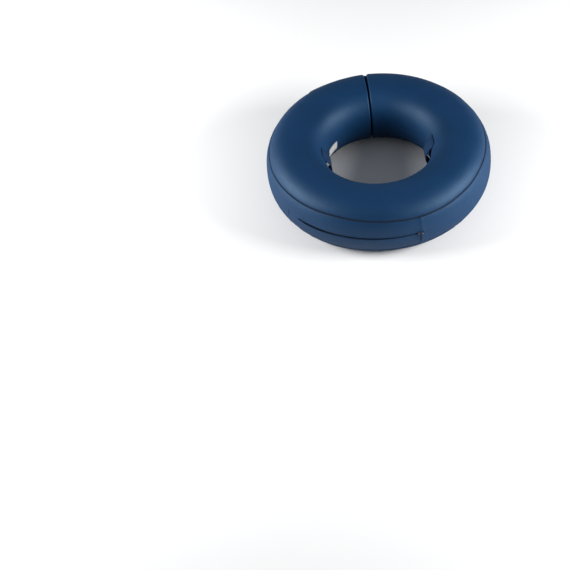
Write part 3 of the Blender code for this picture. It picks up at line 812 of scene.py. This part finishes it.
def solid_outward(obj):
    """Turns a closed mesh's faces outward."""
    if sum(p.center.dot(p.normal) * p.area for p in obj.data.polygons) < 0:
        obj.data.flip_normals()


# ---- zip

def zipper():
    """Two tapes behind the slit, each with its coil and its stop, and the slider with its pull."""
    ends, near, far, depth, thick = (ZIP_FROM - 2.5, ZIP_TO + 1.8), 0.0008, 0.0118, 0.00185, 0.0006
    for name, sign in (("upper", 1), ("lower", -1)):
        along = sorted((sign * near, sign * far))
        tape = plate(f"zip_tape_{name}_cloth", ends, along, -depth, thick, TAPE, corner=0.0008)
        declare(tape, "front_section", "zip_tape", f"zip_tape_{name}")
        coil(name, sign)
        dress(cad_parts[f"zip_top_stop_{name}"], METAL, 0.0003)
    dress(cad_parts["zip_bottom_stop"], METAL, 0.0003)
    dress(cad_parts["zip_slider"], METAL, 0.00022)
    pull()


def dress(node, material, bevel):
    """Gives a CAD node its material, and rounds its edges."""
    node.data.materials.clear()
    node.data.materials.append(material)
    rounding = node.modifiers.new("Rounding", "BEVEL")
    rounding.width, rounding.segments, rounding.limit_method = bevel, 2, "ANGLE"


def coil(name, sign):
    """One row of the zip's coil: an oval helix of nylon that meshes with the other row."""
    pitch, wire, sides, per_turn = 0.0015, 0.00033, 5, 12
    middle, half_height, half_depth = 0.00155, 0.00165, 0.00055
    radius = OUTER - 0.0029
    turns = math.radians(ZIP_TO - ZIP_FROM) * radius / pitch
    phase = 0.0 if sign > 0 else 0.5
    t = np.linspace(0, turns, int(turns * per_turn))
    around = 2 * np.pi * (t + phase)
    azimuth = np.radians(ZIP_FROM + (ZIP_TO - ZIP_FROM) * t / turns)
    up = sign * (middle - half_height * np.cos(around))
    r = radius + half_depth * np.sin(around)
    path = np.stack([r * np.sin(azimuth), -r * np.cos(azimuth), MID + up], axis=-1)
    along = np.gradient(path, axis=0)
    along /= np.linalg.norm(along, axis=1, keepdims=True)
    out = np.stack([np.sin(azimuth), -np.cos(azimuth), np.zeros_like(azimuth)], axis=-1)
    side = np.cross(along, out)
    side /= np.maximum(np.linalg.norm(side, axis=1, keepdims=True), 1e-9)
    other = np.cross(along, side)
    points = np.stack([path + (side * math.cos(a) + other * math.sin(a)) * wire
                       for a in np.radians(np.arange(0, 360, 360 / sides))], axis=1)
    obj = mesh_object(f"zip_coil_{name}_helix", points.reshape(-1, 3), tube_faces(len(t), sides), COIL)
    solid_outward(obj)
    declare(obj, "front_section", "zip_tape", f"zip_coil_{name}")


def pull():
    """Tape folded over the slider's bar and sewn to itself, hanging down the band."""
    place = station(SLIDER_AT, BRIDGE_RADIUS)
    eye, gap, low = 0.00095, 0.00028, -0.0140
    turns = np.radians(np.linspace(-30, 210, 13))
    loop = [(eye * math.cos(a), eye * math.sin(a)) for a in turns]
    front = [(gap, u) for u in np.linspace(low, -0.0034, 8)] + [(gap + 0.00015, -0.0026), (0.00062, -0.0016)]
    path = front + loop + [(-o, u) for o, u in reversed(front)]
    points = [tuple(place @ Vector((0, u, o))) for o, u in path]
    out, up, along = radial(SLIDER_AT), Vector((0, 0, 1)), tangent(SLIDER_AT)
    tape = ribbon("zip_pull_tape", points, tuple(along), 0.0025, 0.00045, TAPE)
    declare(tape, "zip_pull", "zip_tape", "zip_pull")
    starts, ends = [], []
    for height in (-0.0042, -0.0050, -0.0124, -0.0132):
        for x in (-0.0007, 0.0001):
            spot = Vector(place.translation) + out * (gap + 0.00026) + up * height + along * x
            starts.append(tuple(spot))
            ends.append(tuple(spot + along * 0.0006))
    normals = [tuple(out)] * len(starts)
    threads("zip_pull_stitches", starts, ends, normals, "zip_pull", "zip_tape", 0.00014)


# ---- closure over the split

def strap_outset(azimuth):
    """Underside of the closing strap: on the cover where it is sewn, standing off where it is the flap."""
    sewn, lift = 0.00035, 0.00245
    t = np.clip((azimuth - 177.9) / 4.0, 0, 1)
    return sewn + lift * t * t * (3 - 2 * t)


def closure():
    """Sewn strap and free flap in one webbing, the two pads under the flap and the grip at its end."""
    half, inset, thick = STRAP_HALF, STRAP_HALF - 0.0028, 0.0013
    strap = plate("closure_strap", (STRAP_FROM, FLAP_TO), (-half, half), strap_outset, thick, STRAP, 0.004)
    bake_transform(strap)
    declare(strap, None, "strap_webbing", "strap_base", "closure_flap")
    first, last = STRAP_FROM + 1.1, FLAP_HINGE_AT - 2.1
    sewn = [frame_route(first, last, -inset, inset), [(first, -inset), (last, inset)],
            [(first, inset), (last, -inset)]]
    stitched("strap_stitches", sewn, strap_outset(first) + thick, "right_arm")
    rim = [frame_route(FLAP_HINGE_AT + 5.7, FLAP_TO - 1.4, -inset, inset)]
    stitched("flap_stitches", rim, strap_outset(FLAP_TO) + thick, "closure_flap")

    margin, first, last = 0.001, 182.5, 211.0
    hooks = plate("hook_pad_pile", (first + 0.9, last - 1.6), (margin - half, half - margin), 0.0016, 0.0011,
                  PILE)
    declare(hooks, "closure_flap", "hook_and_loop", "hook_pad")
    loops = plate("loop_pad_pile", (first, last), (-half, half), 0.0002, 0.00115, PILE,
                  relief=lambda a, s: 0.00008 * noise(a / 0.25, s / 0.0007, 71))
    declare(loops, "left_arm", "hook_and_loop", "loop_pad")
    rim = [frame_route(first + 0.8, last - 0.8, -inset, inset)]
    stitched("loop_pad_stitches", rim, 0.00140, "left_arm", thick=0.00022)

    def ribs(azimuth, s):
        """Three raised bars across the grip."""
        height, half_width = 0.0007, 0.32
        bars = sum(np.exp(-(((azimuth - at) / half_width) ** 2)) for at in (213.6, 214.8, 216.0))
        return height * bars * (np.abs(s) < GRIP_HALF - 0.003)

    grip = plate("flap_grip_tab", (GRIP_FROM, GRIP_TO), (-GRIP_HALF, GRIP_HALF), 0.0027, 0.0014, GRIP,
                 0.0055, step=0.0008, relief=ribs)
    declare(grip, "closure_flap", "valve_plastic", "flap_grip")


# ---- loops and label in the neck opening

def neck_radius(up):
    """Radius of the neck wall at a height above the tube's middle."""
    share = np.clip(1 - np.abs(up / HALF_HEIGHT) ** SQUARENESS, 0, 1) ** (1 / SQUARENESS)
    return TUBE_RADIUS - HALF_WIDTH * share


def collar_loop(part, azimuth):
    """Webbing strip sewn above and below, which bows out from the neck wall."""
    reach, thick, width, sewn = 0.029, 0.0012, 0.022, 0.0058
    clear, room = 0.0005, 0.0074  # off the neck wall, at the sewn ends and more in the middle
    up = np.linspace(-reach, reach, 41)
    t = np.clip((reach - sewn - np.abs(up)) / (reach - sewn), 0, 1)
    bow = np.sin(t * math.pi / 2) ** 1.2
    radius = neck_radius(up) - thick / 2 - (clear + room * bow)
    path = [tuple(radial(azimuth) * r + Vector((0, 0, MID + u))) for r, u in zip(radius, up)]
    body = "front_section" if part == "front" else part
    obj = ribbon(f"collar_loop_{part}_webbing", path, tuple(tangent(azimuth)), width, thick, STRAP)
    declare(obj, body, "strap_webbing", f"collar_loop_{part}")
    turn = math.degrees((width / 2 - 0.0018) / NECK)
    rows = []
    for end in (-1, 1):
        for inset in (0.0016, 0.0048):
            level = WALL + end * (reach - inset)
            rows.append([(azimuth - turn, level), (azimuth + turn, level)])
    stitched(f"collar_loop_{part}_stitches", rows, 0.0018, body, radius=NECK)


def care_label():
    """Blank label, sewn along its top edge."""
    half_width, top, bottom, hem = 0.012, WALL + 0.002, WALL + 0.018, 0.0015
    half = math.degrees(half_width / NECK)
    sides, along = (LABEL_AT - half, LABEL_AT + half), (top, bottom)
    obj = plate("care_label_satin", sides, along, 0.0007, 0.0004, SATIN, 0.0006, NECK, 0.0015,
                relief=lambda a, s: 0.00025 * noise(a / 4.0, (s - WALL) / 0.006, 81))
    declare(obj, "left_arm", "label_fabric", "care_label")
    row = [(sides[0] + 0.8, top + hem), (sides[1] - 0.8, top + hem)]
    stitched("care_label_stitches", [row], 0.0012, "left_arm", radius=NECK, pitch=0.0024, thick=0.0002)


# ---- valve

def softened(profile, radius):
    """A closed outline with each of its corners turned into a small curve."""
    points = [Vector(p) for p in profile]
    out = []
    for k, corner in enumerate(points):
        before, after = points[k - 1] - corner, points[(k + 1) % len(points)] - corner
        start = corner + before.normalized() * min(radius, before.length * 0.45)
        end = corner + after.normalized() * min(radius, after.length * 0.45)
        for t in (0, 0.33, 0.67, 1):
            out.append(start * (1 - t) ** 2 + corner * 2 * t * (1 - t) + end * t * t)
    return out


def turned(name, profile, body, node, count=72):
    """Round valve piece about the valve's axis from a closed profile of (radius, outward)."""
    place = station(VALVE_AT, OUTER)
    points = [(max(p.x, 0.00002), p.y) for p in softened(profile, 0.00035)]
    turn = np.radians(np.linspace(0, 360, count, endpoint=False))
    verts = [place @ Vector((r * math.cos(a), r * math.sin(a), out)) for a in turn for r, out in points]
    faces = grid_faces(count + 1, len(points), True) % len(verts)
    obj = mesh_object(name, verts, faces, VINYL)
    solid_outward(obj)
    declare(obj, body, "valve_plastic", node)


def valve():
    """Eyelet, flange, stem and plug, and the strap that ties the plug to the stem."""
    turned("valve_eyelet_ring", [(0.0088, 0.0010), (0.0094, 0.0014), (0.0120, 0.0014), (0.0130, 0.0009),
                                 (0.0130, 0.0002), (0.0100, 0.0002), (0.0100, -0.0018), (0.0088, -0.0018)],
           "right_arm", "valve_eyelet")
    turned("valve_flange_disc", [(0.0060, -0.0040), (0.0125, -0.0040), (0.0135, -0.0044), (0.0135, -0.0048),
                                 (0.0060, -0.0048)], "right_arm", "valve_flange")
    turned("valve_stem_tube", [(0.0032, 0.0020), (0.0062, 0.0020), (0.0066, 0.0015), (0.0064, 0.0008),
                               (0.0050, 0.0002), (0.0050, -0.0060), (0.0053, -0.0064), (0.0053, -0.0070),
                               (0.0050, -0.0074), (0.0050, -0.0125), (0.0054, -0.0130), (0.0054, -0.0140),
                               (0.0032, -0.0140)], "valve_stem", "valve_stem")
    turned("valve_cap_plug", [(0.0, 0.0034), (0.0035, 0.0034), (0.0044, 0.0038), (0.0060, 0.0037),
                              (0.0067, 0.0031), (0.0066, 0.0023), (0.0027, 0.0022), (0.0027, 0.0006),
                              (0.0025, 0.0002), (0.0022, -0.0012), (0.0, -0.0012)], "valve_cap", "valve_cap")
    place = station(VALVE_AT, OUTER)
    across = tuple(tangent(VALVE_AT))

    def strip(name, path, body, width, thick=0.0010):
        """Strip along a path of (distance below the valve's axis, outward)."""
        points = [tuple(place @ Vector((0, -down, out))) for down, out in path]
        obj = ribbon(name, points, across, width, thick, VINYL)
        declare(obj, body, "valve_plastic")
        return obj

    inner, outer, down = 0.0014, 0.0030, 0.0082
    for part, out in (("valve_stem", inner), ("valve_cap", outer)):
        strip(f"{part}_tongue", [(0.0052, out), (0.0064, out), (0.0078, out)], part, 0.0040)
    turns = np.radians(np.linspace(-90, 90, 13))
    bend = [(0.0080 + 0.0009 * math.cos(a), 0.0022 + 0.0008 * math.sin(a)) for a in turns]
    hinge = strip("valve_hinge_strap", [(0.0076, inner)] + bend + [(0.0076, outer)], None, 0.0034, 0.0007)
    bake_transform(hinge)
    strip("valve_cap_tab", [(-0.0060, 0.0031), (-0.0072, 0.0033), (-0.0084, 0.0038)], "valve_cap", 0.0044)


# ---- stage, lights, camera

def area_light(name, place, width, height, power):
    """Softbox that faces the ring; sizes in metres, power in watts."""
    data = bpy.data.lights.new(name, "AREA")
    data.shape, data.size, data.size_y, data.energy = "RECTANGLE", width, height, power
    obj = bpy.data.objects.new(name, data)
    bpy.context.scene.collection.objects.link(obj)
    obj.location = place
    obj.rotation_euler = (Vector((0, 0, MID)) - Vector(place)).to_track_quat("-Z", "Y").to_euler()


def stage():
    """Pale floor, dim sky and a softbox on either side."""
    n = Nodes("floor")
    tone = n.blend(n.noise(n.place(), 3.0, 2.0), (0.73, 0.73, 0.73, 1), (0.76, 0.76, 0.76, 1))
    corners = [(-8, -8, 0), (8, -8, 0), (8, 8, 0), (-8, 8, 0)]
    floor = mesh_object("floor", corners, [(0, 1, 2, 3)], n.finish(Base_Color=tone, Roughness=0.9))
    world = bpy.data.worlds.new("studio")
    bpy.context.scene.world = world
    world.use_nodes = True
    background = world.node_tree.nodes["Background"]
    background.inputs["Color"].default_value = (0.93, 0.96, 1.0, 1)
    background.inputs["Strength"].default_value = 0.22
    area_light("left_softbox", (-1.2, 0.05, 0.53), 0.8, 0.5, 29)
    area_light("right_softbox", (1.13, -0.41, 0.53), 0.8, 0.5, 33)


def camera():
    """Long lens, high in front and a little tilted; right and up are its picture's axes."""
    data = bpy.data.cameras.new("camera")
    data.lens, data.sensor_width = 104.2105, 36
    data.clip_start, data.clip_end = 0.05, 50
    obj = bpy.data.objects.new("camera", data)
    bpy.context.scene.collection.objects.link(obj)
    place = (-0.16314, -1.84252, 1.76271)
    right = Vector((0.993050, -0.085922, -0.080427))
    up = Vector((0.117690, 0.724992, 0.678628))
    axes = Matrix((right, up, right.cross(up))).transposed().to_4x4()
    obj.matrix_world = Matrix.Translation(place) @ axes
    bpy.context.scene.camera = obj


bpy.context.scene.view_settings.view_transform = "Standard"
camera()
stage()
cover()
for arm in ("left", "right"):
    bladder(arm)
zipper()
closure()
for part, azimuth in LOOPS.items():
    collar_loop(part, azimuth)
care_label()
valve()
